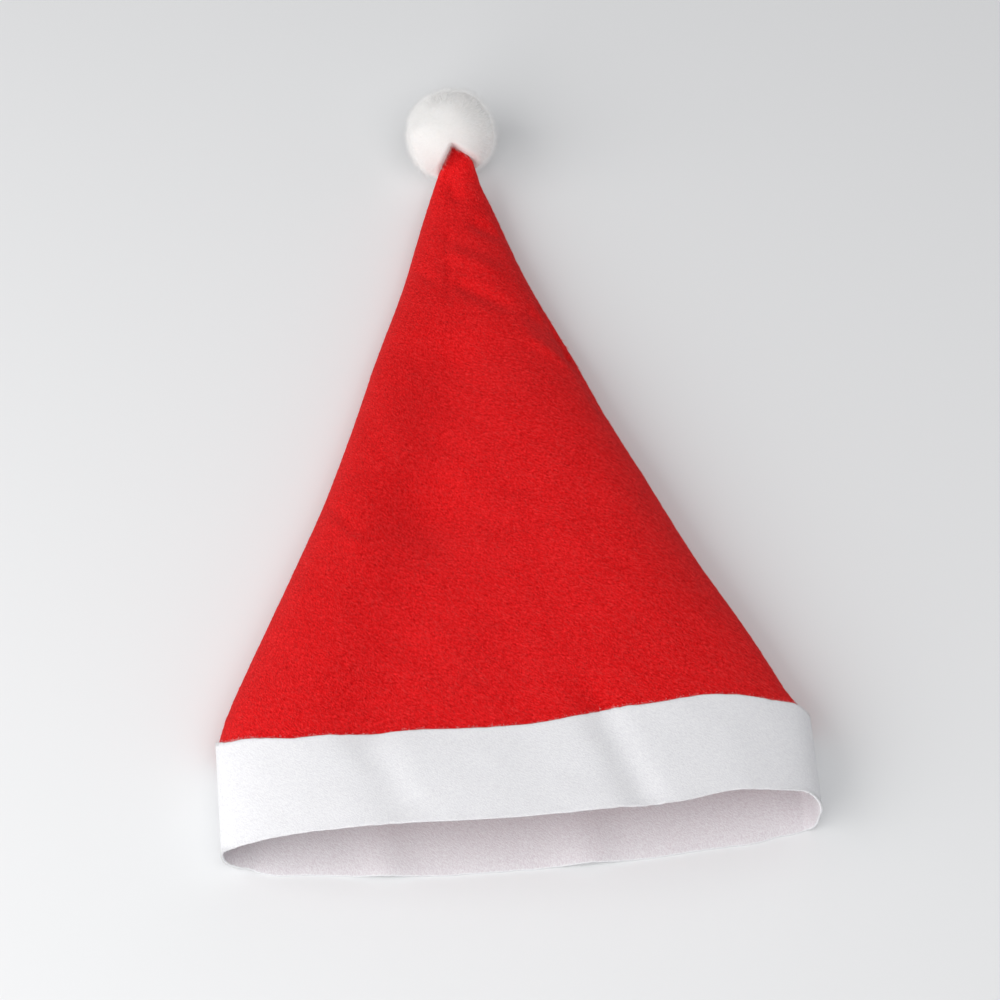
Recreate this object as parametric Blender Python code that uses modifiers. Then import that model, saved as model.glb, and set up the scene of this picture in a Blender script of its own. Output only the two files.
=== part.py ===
"""A costume hat of red felt with a white felt band and a white plush pompom, lying on its back.

The crown is one cone of red felt, hollow and open at the mouth.  The band is a straight strip of
white felt, closed to a ring and lapped over the crown's lower edge.  The pompom sits on the crown's
sewn tip.  The hat rests on the table at Z = 0, with its mouth towards -Y and its tip towards +Y.
"""

from collections import namedtuple
from math import cos, pi, radians, sin, sqrt

import bmesh
import bpy
import numpy as np
from mathutils import Matrix, Vector

# Driving sizes, in metres
MOUTH_WIDTH = 0.267         # across the open mouth, from side to side
MOUTH_OPENING = 0.048       # height of the open mouth
BAND_WIDTH = 0.048          # of the white strip, along the hat
BAND_WALL = 0.0018          # white felt
BAND_LAP = 0.010            # how far the crown runs up inside the band
CROWN_LENGTH = 0.332        # from the band's upper edge to the sewn tip
CROWN_WALL = 0.0015         # red felt
SETTLE_LENGTH = 0.022       # over which the crown swells out again beyond the band
FELT_GAP = 0.0003           # between pieces that touch
TIP_SLANT = 0.0117          # how much shorter the crown is at the right end of its sewn tip
SLANT_SHARE = 0.90          # place along the hat from which the right edge falls behind
POMPOM_DIAMETER = 0.047
POMPOM_SEAT = 0.0118        # how deep the middle of the crown's tip sits in the pompom
POMPOM_SIDESTEP = -0.0038   # how far the pompom's middle lies to the right of the tip's
LOCK_LENGTH = 0.0055        # how far a lock of plush stands out of the core
LOCK_RADIUS = 0.0052        # where it leaves the core
LOCK_BEND = 0.0018          # how far its end leans sideways
LOCK_SWEEP = radians(138)   # turn of the lean from one lock to the next
CORE_RADIUS = POMPOM_DIAMETER / 2 - LOCK_LENGTH
POCKET_ANGLE = radians(34)  # locks stand clear of the crown's tip within this angle
POCKET_SHARE = 0.80         # place along the hat from which the pompom's pocket follows the crown
DIMPLE_SHARE = 0.94         # place along the hat where the plush stands fully open above the crown
DIMPLE_RISE = 0.030         # height of the opening there

# Facets
AROUND = 72
TURN_SHARE = 1.0            # how much the points crowd where the outline turns, against its length
BAND_RINGS = 4
LAP_RINGS = 3
SETTLE_RINGS = 3
CROWN_RINGS = 19
LOCK_SIDES = 5
LOCK_COUNT = 76
CORE_SUBDIVISION_COUNT = 2
OUTLINE_COUNT = 1440        # fine points from which a ring's own are chosen
SHARP_ANGLE = radians(50)   # edges steeper than this stay sharp in shading

# The hat's cross sections. along runs from -1 at the mouth, over 0 at the band's upper edge, to 1 at the
# tip. half_width and lean are shares of half the mouth's width, height is a share of the mouth's opening,
# and lift, the clearance above the table, is a share of the pompom's radius. squareness is the power of
# the outline at its right edge, where 2 is an ellipse, and edge is that edge's share of the height.
Section = namedtuple("Section", "along half_width height lift lean squareness edge")
SECTIONS = (
    Section(-1.000, 0.990, 1.00, 0.00, 0.000, 2.90, 0.46),
    Section(0.000, 1.000, 0.93, 0.00, 0.000, 2.30, 0.46),
    Section(0.045, 0.946, 0.92, 0.00, -0.012, 2.30, 0.41),
    Section(0.125, 0.860, 0.89, 0.00, -0.010, 2.60, 0.32),
    Section(0.250, 0.716, 0.85, 0.00, -0.014, 2.80, 0.23),
    Section(0.375, 0.585, 0.79, 0.00, -0.011, 2.90, 0.19),
    Section(0.500, 0.465, 0.71, 0.00, -0.018, 2.90, 0.18),
    Section(0.625, 0.359, 0.61, 0.00, -0.021, 2.80, 0.18),
    Section(0.750, 0.245, 0.51, 0.00, -0.023, 2.60, 0.20),
    Section(0.875, 0.146, 0.36, 0.16, -0.025, 2.40, 0.26),
    Section(0.940, 0.092, 0.27, 0.42, -0.020, 2.20, 0.34),
    Section(1.000, 0.043, 0.18, 0.80, -0.001, 2.00, 0.46),
)

# How far the felt lies behind the lowest point of the mouth, as shares of the band's width, at the mouth
# and at the band's upper edge. The angle goes round the hat: 0 is the right edge, 90 the top, 180 the
# left edge and 270 the middle of the underside. Beyond the band the seam's values fade towards the tip.
Setback = namedtuple("Setback", "angle mouth seam")
SETBACKS = (
    Setback(0, 0.167, 0.094),
    Setback(25, 0.288, 0.194),
    Setback(50, 0.298, 0.256),
    Setback(70, 0.200, 0.179),
    Setback(90, 0.165, 0.063),
    Setback(110, 0.202, 0.117),
    Setback(130, 0.217, 0.144),
    Setback(155, 0.215, 0.240),
    Setback(180, 0.240, 0.329),
    Setback(205, 0.205, 0.235),
    Setback(225, 0.117, 0.125),
    Setback(270, 0.000, 0.000),
    Setback(300, 0.076, 0.040),
    Setback(318, 0.140, 0.075),
    Setback(338, 0.174, 0.095),
)

# Dents and folds of the upper felt. Each runs from one end to the other, placed along the hat as the
# sections are and across it as a share of the local half width. width is a share of half the mouth's
# width, and depth of the mouth's opening. A negative depth is a ridge.
Fold = namedtuple("Fold", "along_a across_a along_b across_b width depth")
FOLDS = (
    Fold(0.06, -0.46, 0.34, -0.36, 0.170, 0.100),    # long hollow beside the left edge
    Fold(0.34, -0.36, 0.60, -0.28, 0.140, 0.090),
    Fold(0.12, -0.16, 0.52, -0.10, 0.360, 0.065),    # its gentle right side
    Fold(0.18, 0.66, 0.50, 0.62, 0.260, -0.060),     # broad swell of the right half
    Fold(0.67, 0.74, 0.64, 0.88, 0.042, 0.060),      # pocket beside the seam
    Fold(0.74, -0.08, 0.69, 0.42, 0.040, 0.040),     # creases of the narrow end
    Fold(0.80, -0.15, 0.76, 0.40, 0.040, -0.030),
    Fold(0.02, 0.28, -0.90, 0.40, 0.060, 0.055),     # slanting crease in the band
    Fold(-0.05, -0.48, -0.78, -0.39, 0.070, 0.030),  # faint hollow in the band
)

# Soft waves of the lower felt, which lift it off the table near the mouth.
Wave = namedtuple("Wave", "across width height")
WAVES = (
    Wave(-0.46, 0.080, 0.045),
    Wave(0.22, 0.090, 0.055),
)
WAVE_SHARE = 0.45           # share of the crown's length at which the waves have faded

# A lock's rings: out is a share of its length, and radius of its root's.
LockRing = namedtuple("LockRing", "out radius")
LOCK_RINGS = (
    LockRing(-0.60, 1.00),
    LockRing(0.40, 0.94),
    LockRing(1.00, 0.50),
)

EDGE_HEIGHT_LEFT = 0.32     # height of the left edge, as a share of the section's height
SQUARENESS_LEFT = 2.40
SQUARENESS_BELOW_LEFT = 3.00
SQUARENESS_BELOW_RIGHT = 6.00
SINK = 0.16                 # how much of the section's height the table flattens
FLAT_BLEND = 0.0012         # over which the lower felt comes down to the table


def empty_scene():
    for old in list(bpy.data.objects):
        bpy.data.objects.remove(old)
    parts = bpy.data.collections.new("felt_hat")
    helpers = bpy.data.collections.new("helpers")
    bpy.context.scene.collection.children.link(parts)
    bpy.context.scene.collection.children.link(helpers)
    helpers.hide_render = True
    return parts, helpers


def felt(name, colour, roughness):
    material = bpy.data.materials.new(name)
    material.use_nodes = True
    shader = material.node_tree.nodes["Principled BSDF"]
    shader.inputs["Base Color"].default_value = (*colour, 1.0)
    shader.inputs["Roughness"].default_value = roughness
    shader.inputs["Metallic"].default_value = 0.0
    material.diffuse_color = (*colour, 1.0)
    return material


def length_at(along):
    """Distance from the mouth for a place along the hat, where -1..0 is the band and 0..1 the crown."""
    return np.where(along < 0, BAND_WIDTH * (along + 1), BAND_WIDTH + CROWN_LENGTH * along)


def column(name, along):
    """One column of the sections: a straight line over the band, and over the crown a cubic that eases
    from row to row without overshooting them."""
    along = np.asarray(along, float)
    rows_at = np.array([row.along for row in SECTIONS[1:]])
    values = np.array([getattr(row, name) for row in SECTIONS[1:]])
    steps = np.diff(rows_at)
    rises = np.diff(values) / steps
    both = rises[1:] * rises[:-1]
    means = 2 * both / np.where(both > 0, rises[1:] + rises[:-1], 1.0)
    slopes = np.concatenate([rises[:1], np.where(both > 0, means, 0.0), rises[-1:]])
    row = np.clip(np.searchsorted(rows_at, along) - 1, 0, len(steps) - 1)
    step = steps[row]
    part = (along - rows_at[row]) / step
    over_crown = (
        (1 + 2 * part) * (1 - part) ** 2 * values[row]
        + part * (1 - part) ** 2 * step * slopes[row]
        + part ** 2 * (3 - 2 * part) * values[row + 1]
        + part ** 2 * (part - 1) * step * slopes[row + 1]
    )
    over_band = values[0] + (values[0] - getattr(SECTIONS[0], name)) * along
    return np.where(along < 0, over_band, over_crown)


def flattened(height):
    """The table's effect: nothing lies below zero, and felt comes down to it over a short blend."""
    blend = (height + FLAT_BLEND) ** 2 / (4 * FLAT_BLEND)
    return np.where(height <= -FLAT_BLEND, 0.0, np.where(height >= FLAT_BLEND, height, blend))


def fold_depth(along, across, half_width):
    """Sum of the dents at a point of the upper felt: a bell curve across each fold's line."""
    depth = np.zeros_like(across)
    y = length_at(along)
    x = across * half_width
    for fold in FOLDS:
        ends = []
        for end_along, end_across in ((fold.along_a, fold.across_a), (fold.along_b, fold.across_b)):
            reach = column("half_width", end_along) * MOUTH_WIDTH / 2
            ends.append(np.array([end_across * reach, float(length_at(end_along))]))
        line = ends[1] - ends[0]
        size = sqrt(line @ line)
        along_line = np.clip(((x - ends[0][0]) * line[0] + (y - ends[0][1]) * line[1]) / size ** 2, 0, 1)
        away = np.hypot(x - ends[0][0] - along_line * line[0], y - ends[0][1] - along_line * line[1])
        width = fold.width * MOUTH_WIDTH / 2
        depth += fold.depth * MOUTH_OPENING * np.exp(-((away / width) ** 2))
    return depth


def wave_height(along, across):
    """Height of the waves in the lower felt, largest at the mouth and gone within the wave reach."""
    fade = np.clip(1 - (along + 1) / (WAVE_SHARE + 1), 0, 1) ** 2
    rise = sum(w.height * np.exp(-(((across - w.across) / w.width) ** 2)) for w in WAVES)
    return fade * rise * MOUTH_OPENING


def signed_power(value, power):
    return np.sign(value) * np.abs(value) ** power


def outline(along, angle):
    """The felt's outer face at one place along the hat, as x and z for each angle.

    It is a superellipse, rounder on the left edge than on the right, whose underside is flattened on
    the table.  The angle starts at the right edge and runs over the top.
    """
    side = (1 + np.cos(angle)) / 2
    half_width = column("half_width", along) * MOUTH_WIDTH / 2
    height = column("height", along) * MOUTH_OPENING
    edge = height * (EDGE_HEIGHT_LEFT + (column("edge", along) - EDGE_HEIGHT_LEFT) * side)
    above = np.sin(angle) >= 0
    to_right = column("squareness", along) - SQUARENESS_LEFT
    below = SQUARENESS_BELOW_LEFT + (SQUARENESS_BELOW_RIGHT - SQUARENESS_BELOW_LEFT) * side ** 2
    power = np.where(above, SQUARENESS_LEFT + to_right * side, below)
    across = signed_power(np.cos(angle), 2 / power)
    rise = np.abs(np.sin(angle)) ** (2 / power)
    top = edge + (height - edge) * rise - fold_depth(along, across, half_width) * rise
    bottom = flattened(edge - (edge + SINK * height) * rise) + wave_height(along, across) * rise
    x = half_width * across + column("lean", along) * MOUTH_WIDTH / 2
    z = np.where(above, top, bottom) + column("lift", along) * POMPOM_DIAMETER / 2
    return x, z


def ring_angles():
    """The angles of a ring's points, evenly spread along the mouth and closer where it turns."""
    fine = np.linspace(0, 2 * pi, OUTLINE_COUNT + 1)
    x, z = outline(-1.0, fine)
    run = np.hypot(np.diff(x), np.diff(z))
    heading = np.unwrap(np.arctan2(np.diff(z), np.diff(x)))
    turn = np.abs(np.diff(heading, append=heading[-1]))
    weight = run / run.sum() + TURN_SHARE * turn / turn.sum()
    reached = np.concatenate([[0.0], np.cumsum(weight)])
    return np.interp(np.arange(AROUND) * reached[-1] / AROUND, reached, fine)


def setback(along, angle):
    """Distance behind the mouth's lowest point, easing from row to row round the hat.

    At the tip the right edge is shorter by the slant.
    """
    rows = SETBACKS + (SETBACKS[0]._replace(angle=360),)
    places = np.radians([row.angle for row in rows])
    row = np.clip(np.searchsorted(places, angle, side="right") - 1, 0, len(places) - 2)
    part = (angle - places[row]) / (places[row + 1] - places[row])
    ease = part * part * (3 - 2 * part)
    mouths = np.array([r.mouth for r in rows])
    seams = np.array([r.seam for r in rows])
    mouth = BAND_WIDTH * (mouths[row] + (mouths[row + 1] - mouths[row]) * ease)
    seam = BAND_WIDTH * (seams[row] + (seams[row + 1] - seams[row]) * ease)
    slant = TIP_SLANT * (1 + np.cos(angle)) / 2 * np.clip((along - SLANT_SHARE) / (1 - SLANT_SHARE), 0, 1)
    return np.where(along < 0, seam + (seam - mouth) * along, seam * (1 - along) - slant)


def section(along, inset):
    """One closed ring of points, at a distance inside the felt's outer face."""
    angle = ring_angles()
    x, z = outline(along, angle)
    to_next = np.stack([np.roll(x, -1) - np.roll(x, 1), np.roll(z, -1) - np.roll(z, 1)])
    to_next /= np.linalg.norm(to_next, axis=0)
    x = x - to_next[1] * inset
    z = z + to_next[0] * inset
    y = length_at(along) + setback(along, angle)
    return np.stack([x, y, z], axis=1)


def loft(name, rings, cap_end):
    """A surface through closed rings of points, whose last ring may be closed with a fan."""
    mesh = bpy.data.meshes.new(name)
    points = np.concatenate(rings)
    faces = []
    for ring in range(len(rings) - 1):
        for i in range(AROUND):
            j = (i + 1) % AROUND
            low, high = ring * AROUND, (ring + 1) * AROUND
            faces.append((low + i, high + i, high + j, low + j))
    if cap_end:
        centre = rings[-1].mean(axis=0)
        points = np.concatenate([points, centre[None]])
        last = (len(rings) - 1) * AROUND
        faces += [(last + i, len(points) - 1, last + (i + 1) % AROUND) for i in range(AROUND)]
    mesh.from_pydata([tuple(p) for p in points], [], faces)
    mesh.update()
    return bpy.data.objects.new(name, mesh)


def give_wall(obj, wall):
    """Felt of even thickness, added on the inside of the surface."""
    thickness = obj.modifiers.new("felt thickness", "SOLIDIFY")
    thickness.thickness = wall
    thickness.offset = -1
    thickness.use_even_offset = True
    thickness.use_quality_normals = True


def finish_mesh(obj, material, collection):
    obj.data.materials.append(material)
    obj.data.shade_smooth()
    obj.data.set_sharp_from_angle(angle=SHARP_ANGLE)
    collection.objects.link(obj)


def lap_places():
    """Places along the hat where both pieces of the lap have a ring, so that their facets agree."""
    return np.linspace(-BAND_LAP / BAND_WIDTH, 0.0, LAP_RINGS)


def crown_places():
    """Places along the hat of the crown's rings, from inside the band to the tip."""
    settle = np.linspace(0.0, SETTLE_LENGTH / CROWN_LENGTH, SETTLE_RINGS)
    free = np.linspace(settle[-1], 1.0, CROWN_RINGS)
    return np.concatenate([lap_places(), settle[1:], free[1:]])


def crown(material, collection):
    """Red felt cone: it starts inside the band, swells out beyond it and closes at the sewn tip."""
    rings = []
    for along in crown_places():
        hidden = np.clip(1 - along * CROWN_LENGTH / SETTLE_LENGTH, 0.0, 1.0)
        rings.append(section(along, (BAND_WALL + FELT_GAP) * hidden))
    obj = loft("crown", rings, cap_end=True)
    give_wall(obj, CROWN_WALL)
    finish_mesh(obj, material, collection)
    return obj


def band(material, collection):
    """White felt ring round the mouth, lapped over the crown's lower edge."""
    lap = lap_places()
    places = np.concatenate([np.linspace(-1.0, lap[0], BAND_RINGS)[:-1], lap])
    obj = loft("brim_band", [section(along, 0.0) for along in places], cap_end=False)
    give_wall(obj, BAND_WALL)
    finish_mesh(obj, material, collection)
    return obj


def pompom_centre():
    """The pompom rests on the table, and the crown's tip reaches in to the seat's depth."""
    radius = POMPOM_DIAMETER / 2
    tip = section(1.0, 0.0).mean(axis=0)
    away = sqrt(radius ** 2 - (tip[2] - radius) ** 2) - POMPOM_SEAT
    return Vector((tip[0] + POMPOM_SIDESTEP, tip[1] + away, radius))


def lock_directions():
    """Evenly spread directions, on a spiral from the top of the ball to its underside."""
    turn = pi * (3 - sqrt(5))
    for i in range(LOCK_COUNT):
        z = 1 - (2 * i + 1) / LOCK_COUNT
        flat = sqrt(1 - z * z)
        yield Vector((flat * cos(i * turn), flat * sin(i * turn), z))


def add_lock(plush, direction, centre, sweep):
    """One tapered lock of plush: rings round an axis that bends sideways, closed at both ends.

    A lock that would reach through the table ends on it.
    """
    across = direction.orthogonal().normalized()
    upright = direction.cross(across)
    lean = across * cos(sweep) + upright * sin(sweep)
    rings = []
    for row in LOCK_RINGS:
        middle = centre + direction * (CORE_RADIUS + row.out * LOCK_LENGTH) + lean * LOCK_BEND * row.out ** 2
        ring = []
        for i in range(LOCK_SIDES):
            angle = 2 * pi * i / LOCK_SIDES
            point = middle + (across * cos(angle) + upright * sin(angle)) * row.radius * LOCK_RADIUS
            point.z = max(point.z, 0.0)
            ring.append(plush.verts.new(point))
        rings.append(ring)
    for low, high in zip(rings, rings[1:]):
        for i in range(LOCK_SIDES):
            j = (i + 1) % LOCK_SIDES
            plush.faces.new((low[i], low[j], high[j], high[i]))
    plush.faces.new(rings[0][::-1])
    plush.faces.new(rings[-1])


def tip_pocket():
    """The space that the crown's tip takes up in the pompom: the crown's own last rings, a gap larger.

    Towards the mouth it opens upwards to a dimple, so that the plush parts above the felt.
    """
    rings = []
    for along in crown_places():
        if along >= POCKET_SHARE:
            ring = section(along, -FELT_GAP)
            opened = DIMPLE_RISE * np.clip((1 - along) / (1 - DIMPLE_SHARE), 0, 1)
            upper = np.sin(ring_angles()) > 0
            ring[upper, 2] += opened
            rings.append(ring)
    beyond = rings[-1].copy()
    beyond[:, 1] += FELT_GAP
    return loft("tip_pocket", rings + [beyond], cap_end=True)


def pompom(material, collection, helpers):
    """White plush ball: locks fused to a round core, parted above the crown's tip that it holds."""
    centre = pompom_centre()
    ball = bmesh.new()
    place = Matrix.Translation(centre)
    bmesh.ops.create_icosphere(ball, subdivisions=CORE_SUBDIVISION_COUNT, radius=CORE_RADIUS, matrix=place)
    mesh = bpy.data.meshes.new("pompom")
    ball.to_mesh(mesh)
    ball.free()
    obj = bpy.data.objects.new("pompom", mesh)

    entry = (Vector(section(DIMPLE_SHARE, 0.0).mean(axis=0)) - centre).normalized()
    locks = bmesh.new()
    for number, direction in enumerate(lock_directions()):
        if direction.angle(entry) > POCKET_ANGLE:
            add_lock(locks, direction, centre, sweep=number * LOCK_SWEEP)
    lock_mesh = bpy.data.meshes.new("plush_locks")
    locks.to_mesh(lock_mesh)
    locks.free()
    lock_obj = bpy.data.objects.new("plush_locks", lock_mesh)
    hide_helper(lock_obj, helpers)

    pocket_obj = tip_pocket()
    close_start(pocket_obj)
    hide_helper(pocket_obj, helpers)

    fuse = obj.modifiers.new("fuse locks", "BOOLEAN")
    fuse.operation = "UNION"
    fuse.object = lock_obj
    fuse.use_self = True
    cut = obj.modifiers.new("tip pocket", "BOOLEAN")
    cut.operation = "DIFFERENCE"
    cut.object = pocket_obj
    finish_mesh(obj, material, collection)
    return obj


def close_start(obj):
    """Closes the first ring of a loft, so that it is a solid cutter."""
    work = bmesh.new()
    work.from_mesh(obj.data)
    open_edges = [edge for edge in work.edges if edge.is_boundary]
    bmesh.ops.holes_fill(work, edges=open_edges, sides=0)
    bmesh.ops.recalc_face_normals(work, faces=work.faces)
    work.to_mesh(obj.data)
    work.free()


def hide_helper(obj, helpers):
    obj.hide_render = True
    obj.display_type = "WIRE"
    helpers.objects.link(obj)


def centre_on_origin(pieces, helpers):
    """Moves everything so that the middle of the hat's footprint is on the origin."""
    bpy.context.view_layer.update()
    graph = bpy.context.evaluated_depsgraph_get()
    corners = [Vector(corner) for piece in pieces for corner in piece.evaluated_get(graph).bound_box]
    low = Vector(map(min, zip(*corners)))
    high = Vector(map(max, zip(*corners)))
    shift = Vector((-(low.x + high.x) / 2, -(low.y + high.y) / 2, -low.z))
    for obj in pieces + list(helpers.objects):
        obj.location = shift


def main():
    parts, helpers = empty_scene()
    red = felt("red felt", (0.62, 0.012, 0.016), 0.92)
    white = felt("white felt", (0.86, 0.87, 0.89), 0.94)
    plush = felt("white plush", (0.88, 0.87, 0.85), 0.96)
    pieces = [crown(red, parts), band(white, parts), pompom(plush, parts, helpers)]
    centre_on_origin(pieces, helpers)


main()
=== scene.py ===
"""A pointed hat of red felt with a white felt band and a plush pompom, lying on a pale table."""
from collections import namedtuple
from math import cos, pi, radians, sin, sqrt

import bmesh
import bpy
import numpy as np
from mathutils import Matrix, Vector


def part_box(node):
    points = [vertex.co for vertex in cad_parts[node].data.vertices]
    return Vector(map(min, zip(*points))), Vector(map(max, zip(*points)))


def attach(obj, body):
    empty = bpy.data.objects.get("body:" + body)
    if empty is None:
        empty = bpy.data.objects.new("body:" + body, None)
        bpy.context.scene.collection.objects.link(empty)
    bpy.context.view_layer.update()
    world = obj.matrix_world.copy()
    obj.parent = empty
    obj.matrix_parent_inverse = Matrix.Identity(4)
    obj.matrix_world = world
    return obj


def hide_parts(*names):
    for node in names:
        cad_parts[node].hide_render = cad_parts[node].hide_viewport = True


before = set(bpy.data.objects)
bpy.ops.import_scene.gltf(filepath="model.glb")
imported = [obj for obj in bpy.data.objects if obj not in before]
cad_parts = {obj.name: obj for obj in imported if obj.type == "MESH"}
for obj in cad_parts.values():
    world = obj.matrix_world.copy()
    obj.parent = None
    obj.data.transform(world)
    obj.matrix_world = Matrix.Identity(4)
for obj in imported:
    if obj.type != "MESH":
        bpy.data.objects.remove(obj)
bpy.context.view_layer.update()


# Crown
# One wedge of red needled felt, 1.5 mm thick, sewn down the right side into a cone and closed at the tip.
# The felt is limp, so it lies in a long hollow beside the left edge, a broad swell on the right and
# small creases towards the tip, and the sewn side makes a groove with a ridge beside it.

MOUTH_WIDTH = 0.267
MOUTH_OPENING = 0.048
BAND_WIDTH = 0.048
BAND_WALL = 0.0018
BAND_LAP = 0.010
CROWN_LENGTH = 0.332
CROWN_WALL = 0.0015
SETTLE_LENGTH = 0.022       # over which the crown swells out again beyond the band
FELT_GAP = 0.0003
TIP_SLANT = 0.0117          # how much shorter the crown is at the right end of its sewn tip
SLANT_SHARE = 0.90          # place along the hat from which the right edge falls behind
POMPOM_DIAMETER = 0.047

# Where the hat frame's zero, the middle of the mouth's lowest edge, lies on the table
band_low, band_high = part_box("brim_band")
MOUTH_PLACE = np.array([(band_low[0] + band_high[0]) / 2, band_low[1], 0.0])

# along: -1 mouth, 0 band's upper edge, 1 tip. half_width and lean are shares of half the mouth's width,
# height of the mouth's opening, and lift of the pompom's radius. squareness is the outline's power at the
# right edge, and edge that edge's share of the height.
Section = namedtuple("Section", "along half_width height lift lean squareness edge")
SECTIONS = (
    Section(-1.000, 0.990, 1.00, 0.00, 0.000, 2.90, 0.46),
    Section(0.000, 1.000, 0.93, 0.00, 0.000, 2.30, 0.46),
    Section(0.045, 0.946, 0.92, 0.00, -0.012, 2.30, 0.41),
    Section(0.125, 0.860, 0.89, 0.00, -0.010, 2.60, 0.32),
    Section(0.250, 0.716, 0.85, 0.00, -0.014, 2.80, 0.23),
    Section(0.375, 0.585, 0.79, 0.00, -0.011, 2.90, 0.19),
    Section(0.500, 0.465, 0.71, 0.00, -0.018, 2.90, 0.18),
    Section(0.625, 0.359, 0.61, 0.00, -0.021, 2.80, 0.18),
    Section(0.750, 0.245, 0.51, 0.00, -0.023, 2.60, 0.20),
    Section(0.875, 0.146, 0.36, 0.16, -0.025, 2.40, 0.26),
    Section(0.940, 0.092, 0.27, 0.42, -0.020, 2.20, 0.34),
    Section(1.000, 0.043, 0.18, 0.80, -0.001, 2.00, 0.46),
)

# How far the felt's edges lie behind the mouth's lowest point, as shares of the band's width. The angle
# is in degrees from the right edge over the top.
Setback = namedtuple("Setback", "angle mouth seam")
SETBACKS = (
    Setback(0, 0.167, 0.094),
    Setback(25, 0.288, 0.194),
    Setback(50, 0.298, 0.256),
    Setback(70, 0.200, 0.179),
    Setback(90, 0.165, 0.063),
    Setback(110, 0.202, 0.117),
    Setback(130, 0.217, 0.144),
    Setback(155, 0.215, 0.240),
    Setback(180, 0.240, 0.329),
    Setback(205, 0.205, 0.235),
    Setback(225, 0.117, 0.125),
    Setback(270, 0.000, 0.000),
    Setback(300, 0.076, 0.040),
    Setback(318, 0.140, 0.075),
    Setback(338, 0.174, 0.095),
)

# Dents (positive) and ridges of the upper felt, from end a to end b. across is a share of the half width
# there, width of half the mouth's width, and depth of the mouth's opening.
Fold = namedtuple("Fold", "along_a across_a along_b across_b width depth")
FOLDS = (
    Fold(0.06, -0.46, 0.34, -0.36, 0.170, 0.100),
    Fold(0.34, -0.36, 0.60, -0.28, 0.140, 0.104),
    Fold(0.12, -0.16, 0.52, -0.10, 0.360, 0.065),
    Fold(0.18, 0.66, 0.50, 0.62, 0.260, -0.070),
    Fold(0.37, -0.97, 0.32, -0.76, 0.030, 0.035),
    Fold(0.345, -0.92, 0.30, -0.70, 0.025, -0.022),
    Fold(0.860, 0.909, 0.807, 0.976, 0.014, 0.050),
    Fold(0.807, 0.976, 0.705, 0.930, 0.014, 0.070),
    Fold(0.705, 0.930, 0.600, 0.894, 0.016, 0.070),
    Fold(0.600, 0.894, 0.500, 0.940, 0.020, 0.060),
    Fold(0.670, 0.740, 0.640, 0.880, 0.042, 0.060),
    Fold(0.625, 0.600, 0.560, 0.900, 0.024, -0.028),
    Fold(0.740, -0.080, 0.695, 0.420, 0.032, 0.040),
    Fold(0.800, -0.150, 0.765, 0.400, 0.036, -0.030),
    Fold(0.855, 0.350, 0.835, 0.700, 0.030, 0.045),
    Fold(0.945, -0.450, 0.910, -0.100, 0.032, 0.040),
    Fold(0.840, -0.300, 0.720, -0.260, 0.018, 0.016),
    Fold(0.790, -0.900, 0.755, -0.560, 0.020, 0.022),
    Fold(0.370, 0.100, 0.365, 0.260, 0.030, 0.012),
    Fold(0.02, 0.28, -0.90, 0.40, 0.060, 0.042),
    Fold(-0.05, -0.48, -0.78, -0.39, 0.070, 0.030),
)

# Soft waves of the lower felt, in the same shares, gone within WAVE_SHARE of the crown's length
Wave = namedtuple("Wave", "across width height")
WAVES = (
    Wave(-0.46, 0.080, 0.045),
    Wave(0.22, 0.090, 0.055),
)
WAVE_SHARE = 0.45

EDGE_HEIGHT_LEFT = 0.32     # the left edge's share of the height
SQUARENESS_LEFT = 2.40      # the outline's power at the left edge
SQUARENESS_BELOW_LEFT = 3.00
SQUARENESS_BELOW_RIGHT = 6.00
SINK = 0.16                 # how far under the table the lower felt would hang, as a share of the height
FLAT_BLEND = 0.0012         # height over which it eases onto the table instead

UNEVEN_SLOPE = 0.024        # of the soft lie of the felt
UNEVEN_WAVES = 36
UNEVEN_LENGTHS = (0.010, 0.050)

CROWN_COLUMNS = 360
CROWN_ROWS = 220
INNER_ROWS = 36             # or one more, because every few of the outer rows are taken
RIM_ROWS = 5
CAP_ROWS = 4
FINE_STEPS = 2880           # round the mouth, to measure it by
TIP_ROUNDING = 0.0015
EDGE_SHARE = 0.55           # of the band's thickness, at its cut edges
EDGE_THINNING = 0.003       # how far from them it has mostly come back


def length_at(along):
    """Distance from the mouth: the band's width up to the seam, and the crown's length beyond it."""
    return np.where(along < 0, BAND_WIDTH * (along + 1), BAND_WIDTH + CROWN_LENGTH * along)


def column(name, along):
    """One column of the sections: a straight line over the band, and over the crown a cubic that eases
    from row to row without overshooting them."""
    along = np.asarray(along, float)
    rows_at = np.array([row.along for row in SECTIONS[1:]])
    values = np.array([getattr(row, name) for row in SECTIONS[1:]])
    steps = np.diff(rows_at)
    rises = np.diff(values) / steps
    both = rises[1:] * rises[:-1]
    means = 2 * both / np.where(both > 0, rises[1:] + rises[:-1], 1.0)
    slopes = np.concatenate([rises[:1], np.where(both > 0, means, 0.0), rises[-1:]])
    row = np.clip(np.searchsorted(rows_at, along) - 1, 0, len(steps) - 1)
    step = steps[row]
    part = (along - rows_at[row]) / step
    over_crown = (
        (1 + 2 * part) * (1 - part) ** 2 * values[row]
        + part * (1 - part) ** 2 * step * slopes[row]
        + part ** 2 * (3 - 2 * part) * values[row + 1]
        + part ** 2 * (part - 1) * step * slopes[row + 1]
    )
    over_band = values[0] + (values[0] - getattr(SECTIONS[0], name)) * along
    return np.where(along < 0, over_band, over_crown)


def flattened(height):
    """Nothing lies below the table: height, a parabola near zero, and zero."""
    blend = (height + FLAT_BLEND) ** 2 / (4 * FLAT_BLEND)
    return np.where(height <= -FLAT_BLEND, 0.0, np.where(height >= FLAT_BLEND, height, blend))


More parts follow.
